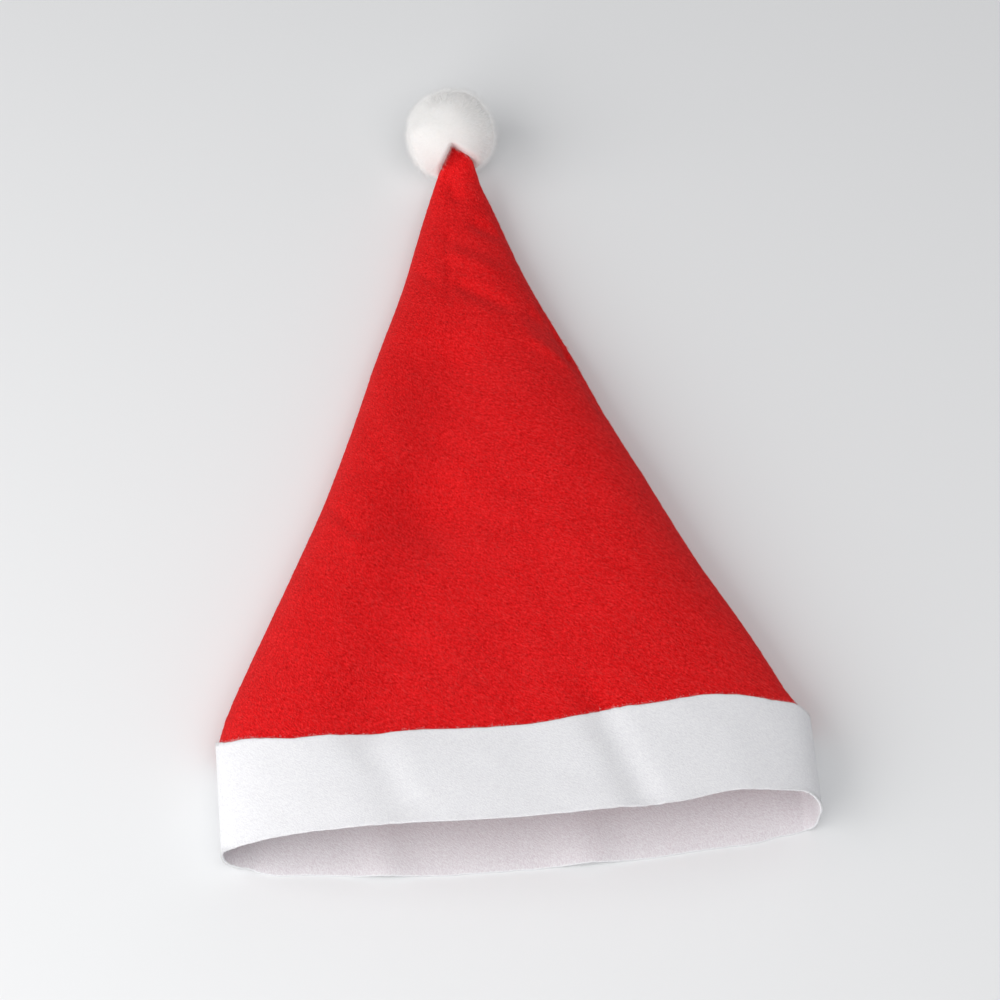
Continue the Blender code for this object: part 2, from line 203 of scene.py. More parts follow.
def fold_depth(along, across, half_width):
    """Sum over the folds of depth times a bell curve of the distance from the fold's line."""
    depth = np.zeros(np.broadcast(along, across).shape)
    y = length_at(along)
    x = across * half_width
    for fold in FOLDS:
        ends = []
        for end_along, end_across in ((fold.along_a, fold.across_a), (fold.along_b, fold.across_b)):
            reach = column("half_width", end_along) * MOUTH_WIDTH / 2
            ends.append((float(end_across * reach), float(length_at(end_along))))
        (ax, ay), (bx, by) = ends
        size = (bx - ax) ** 2 + (by - ay) ** 2
        part = np.clip(((x - ax) * (bx - ax) + (y - ay) * (by - ay)) / size, 0, 1)
        away = np.hypot(x - ax - part * (bx - ax), y - ay - part * (by - ay))
        depth += fold.depth * MOUTH_OPENING * np.exp(-((away / (fold.width * MOUTH_WIDTH / 2)) ** 2))
    return depth


def wave_height(along, across):
    """Bell-shaped waves of the lower felt, fading with the square of the way from the mouth."""
    fade = np.clip(1 - (along + 1) / (WAVE_SHARE + 1), 0, 1) ** 2
    rise = sum(w.height * np.exp(-(((across - w.across) / w.width) ** 2)) for w in WAVES)
    return fade * rise * MOUTH_OPENING


def unevenness(x, y):
    """The soft lie of limp felt: a sum of plane waves of random direction, length and phase."""
    rng = np.random.default_rng(11)
    lengths = rng.uniform(*UNEVEN_LENGTHS, UNEVEN_WAVES)
    headings = rng.uniform(0, pi, UNEVEN_WAVES)
    phases = rng.uniform(0, 2 * pi, UNEVEN_WAVES)
    total = 0.0
    for length, heading, phase in zip(lengths, headings, phases):
        total = total + length * np.sin((x * cos(heading) + y * sin(heading)) * 2 * pi / length + phase)
    return total * UNEVEN_SLOPE / (2 * pi * sqrt(UNEVEN_WAVES / 2))


def outline(along, angle):
    """The felt's outer face as x and z: a superellipse, rounder on the left edge, whose underside is
    flattened on the table. The angle starts at the right edge and runs over the top."""
    side = (1 + np.cos(angle)) / 2
    half_width = column("half_width", along) * MOUTH_WIDTH / 2
    height = column("height", along) * MOUTH_OPENING
    edge = height * (EDGE_HEIGHT_LEFT + (column("edge", along) - EDGE_HEIGHT_LEFT) * side)
    above = np.sin(angle) >= 0
    to_right = column("squareness", along) - SQUARENESS_LEFT
    below = SQUARENESS_BELOW_LEFT + (SQUARENESS_BELOW_RIGHT - SQUARENESS_BELOW_LEFT) * side ** 2
    power = np.where(above, SQUARENESS_LEFT + to_right * side, below)
    across = np.sign(np.cos(angle)) * np.abs(np.cos(angle)) ** (2 / power)
    rise = np.abs(np.sin(angle)) ** (2 / power)
    x = half_width * across + column("lean", along) * MOUTH_WIDTH / 2
    dents = fold_depth(along, across, half_width) + unevenness(x, length_at(along))
    top = edge + (height - edge) * rise - dents * rise
    bottom = flattened(edge - (edge + SINK * height) * rise) + wave_height(along, across) * rise
    z = np.where(above, top, bottom) + column("lift", along) * POMPOM_DIAMETER / 2
    return x, z


def ring_angles(count):
    """The angles of a ring's points, evenly spread along the mouth and closer where it turns."""
    fine = np.linspace(0, 2 * pi, FINE_STEPS + 1)
    x, z = outline(-1.0, fine)
    run = np.hypot(np.diff(x), np.diff(z))
    heading = np.unwrap(np.arctan2(np.diff(z), np.diff(x)))
    turn = np.abs(np.diff(heading, append=heading[-1]))
    reached = np.concatenate([[0.0], np.cumsum(run / run.sum() + turn / turn.sum())])
    return np.interp(np.arange(count) * reached[-1] / count, reached, fine)


def setback(along, angle):
    """Distance behind the mouth's lowest point, easing from row to row round the hat."""
    rows = SETBACKS + (SETBACKS[0]._replace(angle=360),)
    places = np.radians([row.angle for row in rows])
    row = np.clip(np.searchsorted(places, angle, side="right") - 1, 0, len(places) - 2)
    part = (angle - places[row]) / (places[row + 1] - places[row])
    ease = part * part * (3 - 2 * part)
    mouths = np.array([r.mouth for r in rows])
    seams = np.array([r.seam for r in rows])
    mouth = BAND_WIDTH * (mouths[row] + (mouths[row + 1] - mouths[row]) * ease)
    seam = BAND_WIDTH * (seams[row] + (seams[row + 1] - seams[row]) * ease)
    slant = TIP_SLANT * (1 + np.cos(angle)) / 2 * np.clip((along - SLANT_SHARE) / (1 - SLANT_SHARE), 0, 1)
    return np.where(along < 0, seam + (seam - mouth) * along, seam * (1 - along) - slant)


def felt_points(along, angle, inset):
    """Grid of points on the felt's outer face, rows along the hat and columns round it. Each row is
    moved inwards along its own normal by the row's inset."""
    rows = along[:, None]
    turns = angle[None, :]
    x, z = outline(rows, turns)
    dx = np.roll(x, -1, 1) - np.roll(x, 1, 1)
    dz = np.roll(z, -1, 1) - np.roll(z, 1, 1)
    size = np.hypot(dx, dz)
    x = x - dz / size * inset[:, None]
    z = z + dx / size * inset[:, None]
    y = np.broadcast_to(length_at(rows) + setback(rows, turns), x.shape)
    return np.stack([x, y, z], axis=-1) + MOUTH_PLACE


def unit(vectors):
    """The same directions at length one."""
    return vectors / np.maximum(np.linalg.norm(vectors, axis=-1, keepdims=True), 1e-12)


def outward(points):
    """Normals of a grid whose columns close to a ring: the cross product of its two directions."""
    around = np.roll(points, -1, 1) - np.roll(points, 1, 1)
    return unit(np.cross(np.gradient(points, axis=0), around))


def cloth_coordinates(points):
    """Flat felt coordinates in metres: the way round each ring from the middle of the top, positive to
    the right, and the way along the rows. One column more than the points, where the ring closes."""
    closed = np.concatenate([points, points[:, :1]], axis=1)
    around = np.cumsum(np.linalg.norm(np.diff(closed, axis=1), axis=-1), axis=1)
    around = np.concatenate([np.zeros((len(points), 1)), around], axis=1)
    top = int(np.argmax(np.sin(ring_angles(points.shape[1]))))
    along = np.linalg.norm(np.diff(points.mean(axis=1), axis=0), axis=-1)
    along = np.concatenate([[0.0], np.cumsum(along)])
    return around[:, top:top + 1] - around, np.repeat(along[:, None], closed.shape[1], axis=1)


def ring_mesh(name, points, flat, closed):
    """A mesh of quads over a grid whose columns close to a ring, and whose rows do too if closed."""
    rows, columns = points.shape[:2]
    i = np.arange(rows if closed else rows - 1)[:, None]
    j = np.arange(columns)[None, :]
    here, beyond = i * columns, (i + 1) % rows * columns
    after = (j + 1) % columns
    quads = np.stack(np.broadcast_arrays(here + j, here + after, beyond + after, beyond + j), axis=-1)
    mesh = bpy.data.meshes.new(name)
    mesh.from_pydata(points.reshape(-1, 3), [], quads.reshape(-1, 4))
    u, v = flat
    last = (i + 1) % rows
    corners_u = np.stack(np.broadcast_arrays(u[i, j], u[i, j + 1], u[last, j + 1], u[last, j]), axis=-1)
    corners_v = np.stack(np.broadcast_arrays(v[i, j], v[i, j + 1], v[last, j + 1], v[last, j]), axis=-1)
    layer = mesh.uv_layers.new(name="cloth")
    layer.data.foreach_set("uv", np.stack([corners_u, corners_v], axis=-1).ravel())
    mesh.shade_smooth()
    obj = bpy.data.objects.new(name, mesh)
    bpy.context.scene.collection.objects.link(obj)
    return obj


def close_poles(obj):
    """Merges the points of a row that has shrunk to one place."""
    work = bmesh.new()
    work.from_mesh(obj.data)
    bmesh.ops.remove_doubles(work, verts=work.verts, dist=1e-7)
    work.to_mesh(obj.data)
    work.free()


def add_node(tree, kind, inputs, **settings):
    """A shader node, whose inputs are linked sockets or plain values."""
    node = tree.nodes.new(kind)
    for key, value in settings.items():
        setattr(node, key, value)
    for key, value in inputs.items():
        if isinstance(value, bpy.types.NodeSocket):
            tree.links.new(value, node.inputs[key])
        else:
            node.inputs[key].default_value = value
    return node


def ramp(tree, fac, stops):
    """The colour at fac between stops of place and colour, its first and last stop given first."""
    node = add_node(tree, "ShaderNodeValToRGB", {"Fac": fac})
    for stop, (place, colour) in zip(node.color_ramp.elements, stops[:2]):
        stop.position = place
        stop.color = (*colour, 1.0)
    for place, colour in stops[2:]:
        node.color_ramp.elements.new(place).color = (*colour, 1.0)
    return node.outputs["Color"]


Felt = namedtuple("Felt", "dark middle light sheen sheen_tint fibre_turn fibre_length fibre_width relief")

CROSS_TURN = 0.5            # radians between the two ways that the fibres lie
CROSS_LENGTH = 0.6          # size of the crossing fibres, as shares of the main ones
CROSS_WIDTH = 0.8
SPECK_SIZE = 1.3            # of the felt's specks, as a share of a fibre's width
PATCH_LENGTH = 0.030        # of the soft patches, in metres
PATCH_WIDTH = 0.012
PATCH_WEIGHT = 0.15         # beside the fibres
DARK_SUM = 1.32             # sum of the noises at the darkest and at the lightest felt
LIGHT_SUM = 1.83


def felt_material(name, felt):
    """Needled felt: slanting fibres as two stretched noises, with specks, over soft patches. Their sum
    picks the colour, and the sum without the patches gives the relief."""
    material = bpy.data.materials.new(name)
    material.use_nodes = True
    tree = material.node_tree
    shader = tree.nodes["Principled BSDF"]
    cloth = add_node(tree, "ShaderNodeUVMap", {}, uv_map="cloth").outputs["UV"]

    def fibres(turn, length, width, detail):
        laid = add_node(
            tree,
            "ShaderNodeMapping",
            {"Vector": cloth, "Rotation": (0, 0, turn), "Scale": (length, width, 1.0)},
            vector_type="TEXTURE",
        ).outputs["Vector"]
        inputs = {"Vector": laid, "Scale": 1.0, "Detail": detail, "Roughness": 0.6, "Distortion": 0.25}
        return add_node(tree, "ShaderNodeTexNoise", inputs).outputs["Fac"]

    main = fibres(felt.fibre_turn, felt.fibre_length, felt.fibre_width, 2.0)
    cross_turn = felt.fibre_turn + CROSS_TURN
    cross = fibres(cross_turn, felt.fibre_length * CROSS_LENGTH, felt.fibre_width * CROSS_WIDTH, 1.0)
    speck = fibres(0.0, felt.fibre_width * SPECK_SIZE, felt.fibre_width * SPECK_SIZE, 2.0)
    patch = fibres(felt.fibre_turn, PATCH_LENGTH, PATCH_WIDTH, 2.0)
    both = add_node(tree, "ShaderNodeMath", {0: main, 1: cross}, operation="ADD").outputs[0]
    tufts = add_node(tree, "ShaderNodeMath", {0: both, 1: speck}, operation="ADD").outputs[0]
    weighted = add_node(
        tree,
        "ShaderNodeMath",
        {0: patch, 1: PATCH_WEIGHT, 2: tufts},
        operation="MULTIPLY_ADD",
    ).outputs[0]
    share = add_node(
        tree,
        "ShaderNodeMapRange",
        {"Value": weighted, "From Min": DARK_SUM, "From Max": LIGHT_SUM, "To Min": 0.0, "To Max": 1.0},
    ).outputs["Result"]
    colour = ramp(tree, share, ((0.0, felt.dark), (1.0, felt.light), (0.5, felt.middle)))
    tree.links.new(colour, shader.inputs["Base Color"])
    bump = add_node(tree, "ShaderNodeBump", {"Height": tufts, "Strength": 0.7, "Distance": felt.relief})
    tree.links.new(bump.outputs["Normal"], shader.inputs["Normal"])
    shader.inputs["Roughness"].default_value = 0.95
    shader.inputs["Specular IOR Level"].default_value = 0.08
    shader.inputs["Sheen Weight"].default_value = felt.sheen
    shader.inputs["Sheen Roughness"].default_value = 0.55
    shader.inputs["Sheen Tint"].default_value = (*felt.sheen_tint, 1.0)
    return material


RED_FELT = Felt(
    dark=(0.36, 0.001, 0.002),
    middle=(0.72, 0.004, 0.005),
    light=(0.99, 0.030, 0.034),
    sheen=0.15,
    sheen_tint=(1.0, 0.25, 0.25),
    fibre_turn=radians(45),
    fibre_length=0.0024,
    fibre_width=0.00026,
    relief=0.00030,
)
red_felt = felt_material("red_felt", RED_FELT)


def rim(edge, normal, away, wall, count):
    """A half circle from the outer face round a cut edge to the inner face, for every column."""
    turn = np.linspace(0, pi, count + 2)[1:-1, None, None]
    middle = edge - normal * wall / 2
    return middle + normal * np.cos(turn) * wall / 2 + away * np.sin(turn) * wall / 2


def band_wall(along):
    """Thickness of the band: it thins to its cut edges, with the exponential of the way from them."""
    from_edge = BAND_WIDTH * np.clip(np.minimum(-along, 1 + along), 0, 1)
    return BAND_WALL * (1 - (1 - EDGE_SHARE) * np.exp(-from_edge / EDGE_THINNING))


def tip_cap(ring, depth):
    """Rows from the middle of the closed tip out to a ring: a flat ellipsoid of the given depth."""
    turn = np.linspace(pi / 2, 0, CAP_ROWS + 1)[:-1, None, None]
    middle = ring.mean(axis=0)
    return middle + (ring - middle) * np.cos(turn) + np.array([0.0, depth, 0.0]) * np.sin(turn)


crown_angles = ring_angles(CROWN_COLUMNS)
crown_places = np.linspace(1.0, -BAND_LAP / BAND_WIDTH, CROWN_ROWS)
hidden = np.clip(1 - crown_places * CROWN_LENGTH / SETTLE_LENGTH, 0.0, 1.0)
crown_inset = (band_wall(np.minimum(crown_places, 0.0)) + FELT_GAP) * hidden
outer = felt_points(crown_places, crown_angles, crown_inset)
normals = -outward(outer)
inner = (outer - normals * CROWN_WALL)[::-1][:: CROWN_ROWS // INNER_ROWS]
towards_mouth = unit(outer[-1] - outer[-2])
crown_rim = rim(outer[-1], normals[-1], towards_mouth, CROWN_WALL, RIM_ROWS)
crown_rows = np.concatenate([
    tip_cap(outer[0], TIP_ROUNDING),
    outer,
    crown_rim,
    inner,
    tip_cap(inner[-1], 0.0)[::-1],
])
crown = ring_mesh("crown_felt", crown_rows, cloth_coordinates(crown_rows), closed=False)
close_poles(crown)
crown.data.materials.append(red_felt)
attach(crown, "root")
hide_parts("crown")


# Band
# A straight strip of white needled felt, 48 mm wide and 1.8 mm thick, closed to a ring and lapped over
# the crown's lower edge. Its edges are cut, not hemmed, so they are a little uneven and fuzzy.

BAND_COLUMNS = 480
BAND_ROWS = 44
EDGE_WANDER = 0.00009       # unevenness of the cut edges
WANDER_FADE = 8             # power with which it fades away from them
WANDER_WAVES = np.arange(9, 150, 4)
WANDER_FALL = 0.35          # power with which the shorter waves are weaker

WHITE_FELT = Felt(
    dark=(0.74, 0.735, 0.765),
    middle=(0.79, 0.795, 0.82),
    light=(0.84, 0.84, 0.855),
    sheen=0.10,
    sheen_tint=(1.0, 1.0, 1.0),
    fibre_turn=radians(30),
    fibre_length=0.0030,
    fibre_width=0.00050,
    relief=0.00013,
)
white_felt = felt_material("white_felt", WHITE_FELT)

# Painted shade and painted red reflection: a darker, pinker copy of the white felt for the band's inner
# face
WHITE_FELT_PAINTED_SHADE = WHITE_FELT._replace(
    dark=(0.67, 0.625, 0.660),
    middle=(0.74, 0.715, 0.745),
    light=(0.80, 0.790, 0.810),
)
white_felt_painted_shade = felt_material("white_felt_painted_shade", WHITE_FELT_PAINTED_SHADE)


def wander(count, seed):
    """A wandering line round the hat: a sum of waves that close, weaker the shorter they are, divided
    by its standard deviation."""
    rng = np.random.default_rng(seed)
    turns = np.arange(count) / count * 2 * pi
    phases = rng.uniform(0, 2 * pi, len(WANDER_WAVES))
    parts = np.sin(turns[None, :] * WANDER_WAVES[:, None] + phases[:, None])
    parts = parts * (WANDER_WAVES[:, None] / WANDER_WAVES[0]) ** -WANDER_FALL
    return parts.sum(axis=0) / np.std(parts.sum(axis=0))


band_angles = ring_angles(BAND_COLUMNS)
band_places = np.linspace(0.0, -1.0, BAND_ROWS)
outer = felt_points(band_places, band_angles, np.zeros(BAND_ROWS))
share = -band_places[:, None]
at_mouth = wander(BAND_COLUMNS, 3) * share ** WANDER_FADE
at_seam = wander(BAND_COLUMNS, 4) * (1 - share) ** WANDER_FADE
shift = (at_mouth + at_seam) * EDGE_WANDER
outer[..., 1] += shift
normals = -outward(outer)
inner = (outer - normals * band_wall(band_places)[:, None, None])[::-1]
edge_wall = BAND_WALL * EDGE_SHARE
mouth_rim = rim(outer[-1], normals[-1], unit(outer[-1] - outer[-2]), edge_wall, RIM_ROWS)
seam_rim = rim(outer[0], normals[0], unit(outer[0] - outer[1]), edge_wall, RIM_ROWS)[::-1]
band_rows = np.concatenate([outer, mouth_rim, inner, seam_rim])
band = ring_mesh("band_felt", band_rows, cloth_coordinates(band_rows), closed=True)
band.data.materials.append(white_felt)
band.data.materials.append(white_felt_painted_shade)
strips = np.arange(len(band_rows))
# The band's inner face takes the darker, pinker copy: painted shade inside the mouth and painted red
# reflection
painted_shade_faces = (strips >= len(outer) + len(mouth_rim)) & (strips < len(band_rows) - len(seam_rim) - 1)
band.data.polygons.foreach_set("material_index", np.repeat(painted_shade_faces, BAND_COLUMNS).astype(np.int32))
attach(band, "root")
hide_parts("brim_band")


# Loose fibres
# The topmost fibres of the needled felts: on the red they lie flat, combed down to the right by wear, and
# on the white they are short and stand out most at the cut edges.

CROWN_FUZZ_PIECES = 2
CROWN_FUZZ_RADIUS = 0.000070
BAND_FUZZ_RADIUS = 0.000028
COMBED = radians(45)        # the way the fibres lie, down from the felt's crosswise direction
BEND = 0.22                 # sideways, as a share of a fibre's length
LENGTHS = (0.5, 1.4)        # shortest and longest, as shares of the mean length
LIFTS = (0.2, 1.0)          # flattest and steepest, as shares of how they stand
ROOT_SCATTER = 0.001        # from the grid's points
ROOT_DEPTH = 0.00004        # under the felt's face
TABLE_REACH = 0.00015       # no fibre goes lower over the table
TIP_THINNING = 0.6          # how much sparser the fibres are at the tip than at the band
FUZZ_FROM = 0.006           # place along the crown where they start, just clear of the band
CROWN_ROOT_LOWEST = 0.002   # height above the table
BAND_ROOT_LOWEST = 0.001
UNDERSIDE_SHARE = 0.15      # of the fibres, on the lower felt
EDGE_DENSITY = 24.0         # at the band's cut edges, against its face

# length is the mean, and stand the lift at the steepest fibre's end, as a share of its length
Fuzz = namedtuple("Fuzz", "count length stand spread seed")


def strands(name, paths, radius, material):
    """Thin three-sided tapering tubes along paths of a few points each, closed at both ends. The radius
    shrinks with the square root of the way that is left, to a point."""
    count, steps = paths.shape[:2]
    heading = unit(np.gradient(paths, axis=1))
    rng = np.random.default_rng(count)
    side = unit(np.cross(heading, rng.normal(size=(count, 1, 3))))
    upright = np.cross(heading, side)
    left = np.sqrt(1 - np.arange(steps - 1) / (steps - 1))[None, :, None, None] * radius
    turn = np.arange(3) * 2 * pi / 3
    spokes = side[:, :-1, None] * np.cos(turn)[:, None] + upright[:, :-1, None] * np.sin(turn)[:, None]
    rings = (paths[:, :-1, None] + spokes * left).reshape(count, -1, 3)
    points = np.concatenate([rings, paths[:, -1:]], axis=1)
    per_strand = points.shape[1]
    quads = [
        (r * 3 + i, r * 3 + (i + 1) % 3, (r + 1) * 3 + (i + 1) % 3, (r + 1) * 3 + i)
        for r in range(steps - 2)
        for i in range(3)
    ]
    end = (steps - 2) * 3
    fans = [(end + i, end + (i + 1) % 3, end + 3) for i in range(3)] + [(2, 1, 0)]
    base = (np.arange(count) * per_strand)[:, None, None]
    quads = (base + np.array(quads)).reshape(-1, 4)
    fans = (base + np.array(fans)).reshape(-1, 3)
    mesh = bpy.data.meshes.new(name)
    mesh.from_pydata(points.reshape(-1, 3), [], quads.tolist() + fans.tolist())
    mesh.shade_smooth()
    obj = bpy.data.objects.new(name, mesh)
    bpy.context.scene.collection.objects.link(obj)
    obj.data.materials.append(material)
    return obj


def fuzz_paths(points, normals, fuzz, weights):
    """Short curved paths of three points that start just under the felt. Each heads down and to the
    right, within the spread to either side, and lifts a little with the square root of the way."""
    rng = np.random.default_rng(fuzz.seed)
    chosen = rng.choice(weights.size, fuzz.count, p=(weights / weights.sum()).ravel())
    along = unit(np.gradient(points, axis=0)).reshape(-1, 3)[chosen]
    across = unit(np.roll(points, 1, 1) - points).reshape(-1, 3)[chosen]
    root = points.reshape(-1, 3)[chosen]
    normal = normals.reshape(-1, 3)[chosen]
    turn = COMBED + rng.uniform(-1, 1, (fuzz.count, 1)) * fuzz.spread
    heading = across * np.cos(turn) + along * np.sin(turn)
    aside = np.cross(normal, heading) * rng.normal(size=(fuzz.count, 1)) * BEND
    length = fuzz.length * rng.uniform(*LENGTHS, (fuzz.count, 1))
    lift = fuzz.stand * rng.uniform(*LIFTS, (fuzz.count, 1))
    root = root + along * rng.uniform(-ROOT_SCATTER, ROOT_SCATTER, (fuzz.count, 1))
    root = root + across * rng.uniform(-ROOT_SCATTER, ROOT_SCATTER, (fuzz.count, 1))
    steps = []
    for part in (0.0, 0.5, 1.0):
        up = lift * part ** 0.5 * length - ROOT_DEPTH
        steps.append(root + heading * length * part + aside * length * part ** 2 + normal * up)
    paths = np.stack(steps, axis=1)
    paths[..., 2] = np.maximum(paths[..., 2], TABLE_REACH)
    return paths


def plain_fibre(name, colour):
    """Fibre of one colour, a fifth darker in places."""
    material = bpy.data.materials.new(name)
    material.use_nodes = True
    tree = material.node_tree
    shader = tree.nodes["Principled BSDF"]
    place = add_node(tree, "ShaderNodeTexCoord", {}).outputs["Object"]
    noise = add_node(tree, "ShaderNodeTexNoise", {"Vector": place, "Scale": 220.0, "Detail": 2.0})
    tone = noise.outputs["Fac"]
    dark = tuple(0.8 * part for part in colour)
    tree.links.new(ramp(tree, tone, ((0.3, dark), (0.7, colour))), shader.inputs["Base Color"])
    shader.inputs["Roughness"].default_value = 0.8
    shader.inputs["Specular IOR Level"].default_value = 0.25
    return material


red_fibre = plain_fibre("red_fibre", (0.94, 0.045, 0.045))
white_fibre = plain_fibre("white_fibre", (0.93, 0.93, 0.94))

outer = felt_points(crown_places, crown_angles, crown_inset)
normals = -outward(outer)
spread = np.linalg.norm(np.roll(outer, -1, 1) - outer, axis=-1)
sparser = 1 - TIP_THINNING * crown_places[:, None]
upper = np.where(normals[..., 2] > 0, 1.0, UNDERSIDE_SHARE)
bare = (crown_places[:, None] <= FUZZ_FROM) | (outer[..., 2] <= CROWN_ROOT_LOWEST)
weights = spread * sparser * upper * ~bare
for number in range(CROWN_FUZZ_PIECES):
    laid = Fuzz(count=12000, length=0.0031, stand=0.05, spread=radians(30), seed=21 + number)
    paths = fuzz_paths(outer, normals, laid, weights)
    crown_fuzz = strands(f"crown_fuzz_{number + 1}", paths, CROWN_FUZZ_RADIUS, red_fibre)
    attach(crown_fuzz, "root")

outer = felt_points(band_places, band_angles, np.zeros(BAND_ROWS))
outer[..., 1] += shift
normals = -outward(outer)
at_edge = (band_places == band_places.min()) | (band_places == band_places.max())
weights = np.where(at_edge, EDGE_DENSITY, 1.0)[:, None] * (outer[..., 2] > BAND_ROOT_LOWEST)
loose = Fuzz(count=9000, length=0.0013, stand=0.30, spread=radians(180), seed=23)
band_fuzz = strands("band_fuzz", fuzz_paths(outer, normals, loose, weights), BAND_FUZZ_RADIUS, white_fibre)
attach(band_fuzz, "root")


# Pompom
# A ball of white plush, tied to the crown's sewn tip. The pile is dense and soft, lies in loose tufts,
# and parts over the red tip, which sits in a hollow of the ball.

PILE_COUNT = 14000
PILE_PIECES = 2
PILE_RADIUS = 0.00004
PILE_DEPTH = 0.0011         # how deep the dense inside lies under the ball's surface
PILE_FRINGE = 0.0036        # how much further the longest hairs reach than the shortest
PILE_SCATTER = 0.02         # of the hairs' directions
PILE_CURL = 0.10            # how far a hair's end turns aside, against its distance from the heart
HAIR_ROOT = 0.0010          # how deep a hair starts in the dense inside
HAIR_SHORT = 0.0004         # by how much the shortest hairs fall short of the surface
HAIR_LOWEST = 0.0004        # height above the table
CORE_LOWEST = 0.0006
LUMP_HEIGHT = 0.0012
LUMP_MEAN = 0.4             # share of it that the ball loses on the whole
LUMP_WAVES = 14
LUMP_PITCH = (3.0, 9.0)     # waves' turns, in radians per ball radius
OPENING_LEAN = 0.16         # how far the opening above the tip leans to the right, per unit of height
OPENING_CLOSE = 0.19        # how far each of its sides draws in, per unit of height
END_OVERHANG = 0.56         # how far the plush hangs over the tip's end, per unit of height
OPENING_TUCK = 0.0012       # how far the plush lies over the edges of the felt
OPENING_MARGIN = 0.0001
OPENING_FROM = 0.6          # place along the hat from which the opening is shaped
CORE_COLUMNS = 180
CORE_ROWS = 120
REACH_STEPS = 110
REACH_NEAR = 0.002          # nearest place looked at
REACH_FAR = 1.4             # and furthest, in ball radii

pompom_low, pompom_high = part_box("pompom")
ball_radius = POMPOM_DIAMETER / 2
ball_middle = np.array([(pompom_low[0] + pompom_high[0]) / 2, pompom_high[1] - ball_radius, ball_radius])

# The hairs point away from here, beside the crown's tip
HEART_OFF_MIDDLE = np.array([-0.006, 0.002, 0.003])
heart = ball_middle + HEART_OFF_MIDDLE


def plush_material(name, colour, scatter):
    """White pile: light enters it and comes out again a little further on."""
    material = bpy.data.materials.new(name)
    material.use_nodes = True
    shader = material.node_tree.nodes["Principled BSDF"]
    shader.inputs["Base Color"].default_value = (*colour, 1.0)
    shader.inputs["Roughness"].default_value = 1.0
    shader.inputs["Specular IOR Level"].default_value = 0.0
    shader.inputs["Subsurface Weight"].default_value = scatter
    shader.inputs["Subsurface Radius"].default_value = (1.0, 0.9, 0.85)
    shader.inputs["Subsurface Scale"].default_value = 0.004
    return material


def hair_material(name, colour):
    """A single hair is nearly clear: two thirds of the light go through it, straight or scattered. The
    faint glow stands for light that has wandered on from hair to hair."""
    material = bpy.data.materials.new(name)
    material.use_nodes = True
    tree = material.node_tree
    tree.nodes.remove(tree.nodes["Principled BSDF"])
    matt = add_node(tree, "ShaderNodeBsdfDiffuse", {"Color": (*colour, 1.0)})
    milky = add_node(tree, "ShaderNodeBsdfTranslucent", {"Color": (*colour, 1.0)})
    clear = add_node(tree, "ShaderNodeBsdfTransparent", {})
    both = add_node(tree, "ShaderNodeMixShader", {0: 0.5, 1: matt.outputs[0], 2: milky.outputs[0]})
    thin = add_node(tree, "ShaderNodeMixShader", {0: 0.35, 1: both.outputs[0], 2: clear.outputs[0]})
    glow = add_node(tree, "ShaderNodeEmission", {"Color": (*colour, 1.0), "Strength": 0.08})
    lit = add_node(tree, "ShaderNodeAddShader", {0: thin.outputs[0], 1: glow.outputs[0]})
    tree.links.new(lit.outputs[0], tree.nodes["Material Output"].inputs["Surface"])
    return material


white_plush = plush_material("white_plush", (0.790, 0.783, 0.774), 0.7)
white_hair = hair_material("white_hair", (0.99, 0.985, 0.98))


def spiral_directions(count):
    """Even directions: heights in equal steps, each turned on by the golden angle."""
    z = 1 - (2 * np.arange(count) + 1) / count
    turn = np.arange(count) * pi * (3 - sqrt(5))
    flat = np.sqrt(1 - z * z)
    return np.stack([flat * np.cos(turn), flat * np.sin(turn), z], axis=-1)


def beside_tip(points):
    """Distance from the opening above and round the crown's tip, negative inside it. It is the largest
    of the distances to its sides, its end and the felt's underside."""
    x, y, z = np.moveaxis(points - MOUTH_PLACE, -1, 0)
    along = np.clip((y - BAND_WIDTH) / CROWN_LENGTH, OPENING_FROM, 1.0)
    half = column("half_width", along) * MOUTH_WIDTH / 2
    lift = column("lift", along) * POMPOM_DIAMETER / 2
    above = np.maximum(z - lift - column("height", along) * MOUTH_OPENING, 0.0)
    off = x - column("lean", along) * MOUTH_WIDTH / 2 - OPENING_LEAN * above
    end = BAND_WIDTH + CROWN_LENGTH - TIP_SLANT * np.clip((off / half + 1) / 2, 0, 1)
    return np.maximum.reduce([
        np.abs(off) - half + OPENING_TUCK + OPENING_CLOSE * above,
        y - end + END_OVERHANG * above,
        lift - z,
    ])


def free_reach(directions):
    """How far plush can stand out from the heart in each direction before it meets the opening."""
    steps = np.linspace(REACH_NEAR, ball_radius * REACH_FAR, REACH_STEPS)
    places = heart + directions[..., None, :] * steps[:, None]
    clear = np.minimum.accumulate(beside_tip(places) > OPENING_MARGIN, axis=-1)
    return steps[np.maximum(clear.sum(axis=-1) - 1, 0)]


def ball_surface(directions):
    """Reach of the plush from the heart in each direction, by the quadratic for a line and a ball. Soft
    lumps, a sum of sine waves over the direction, are taken off the ball's radius."""
    rng = np.random.default_rng(5)
    total = 0.0
    for _ in range(LUMP_WAVES):
        wave = rng.normal(size=3)
        wave = wave / np.linalg.norm(wave) * rng.uniform(*LUMP_PITCH)
        total = total + np.sin(directions @ wave + rng.uniform(0, 2 * pi)) / np.linalg.norm(wave)
    radius = ball_radius - LUMP_HEIGHT * (LUMP_MEAN + total)
    ahead = directions @ HEART_OFF_MIDDLE
    return np.sqrt(ahead ** 2 - HEART_OFF_MIDDLE @ HEART_OFF_MIDDLE + radius ** 2) - ahead


core_turns = np.linspace(0, 2 * pi, CORE_COLUMNS + 1)[:-1][None, :]
core_tilts = np.linspace(pi / 2, -pi / 2, CORE_ROWS + 1)[:, None]
core_heading = np.stack(np.broadcast_arrays(
    np.cos(core_tilts) * np.cos(core_turns), np.cos(core_tilts) * np.sin(core_turns), np.sin(core_tilts)
), axis=-1)
open_reach = free_reach(core_heading)
core_reach = np.minimum(ball_surface(core_heading), open_reach)

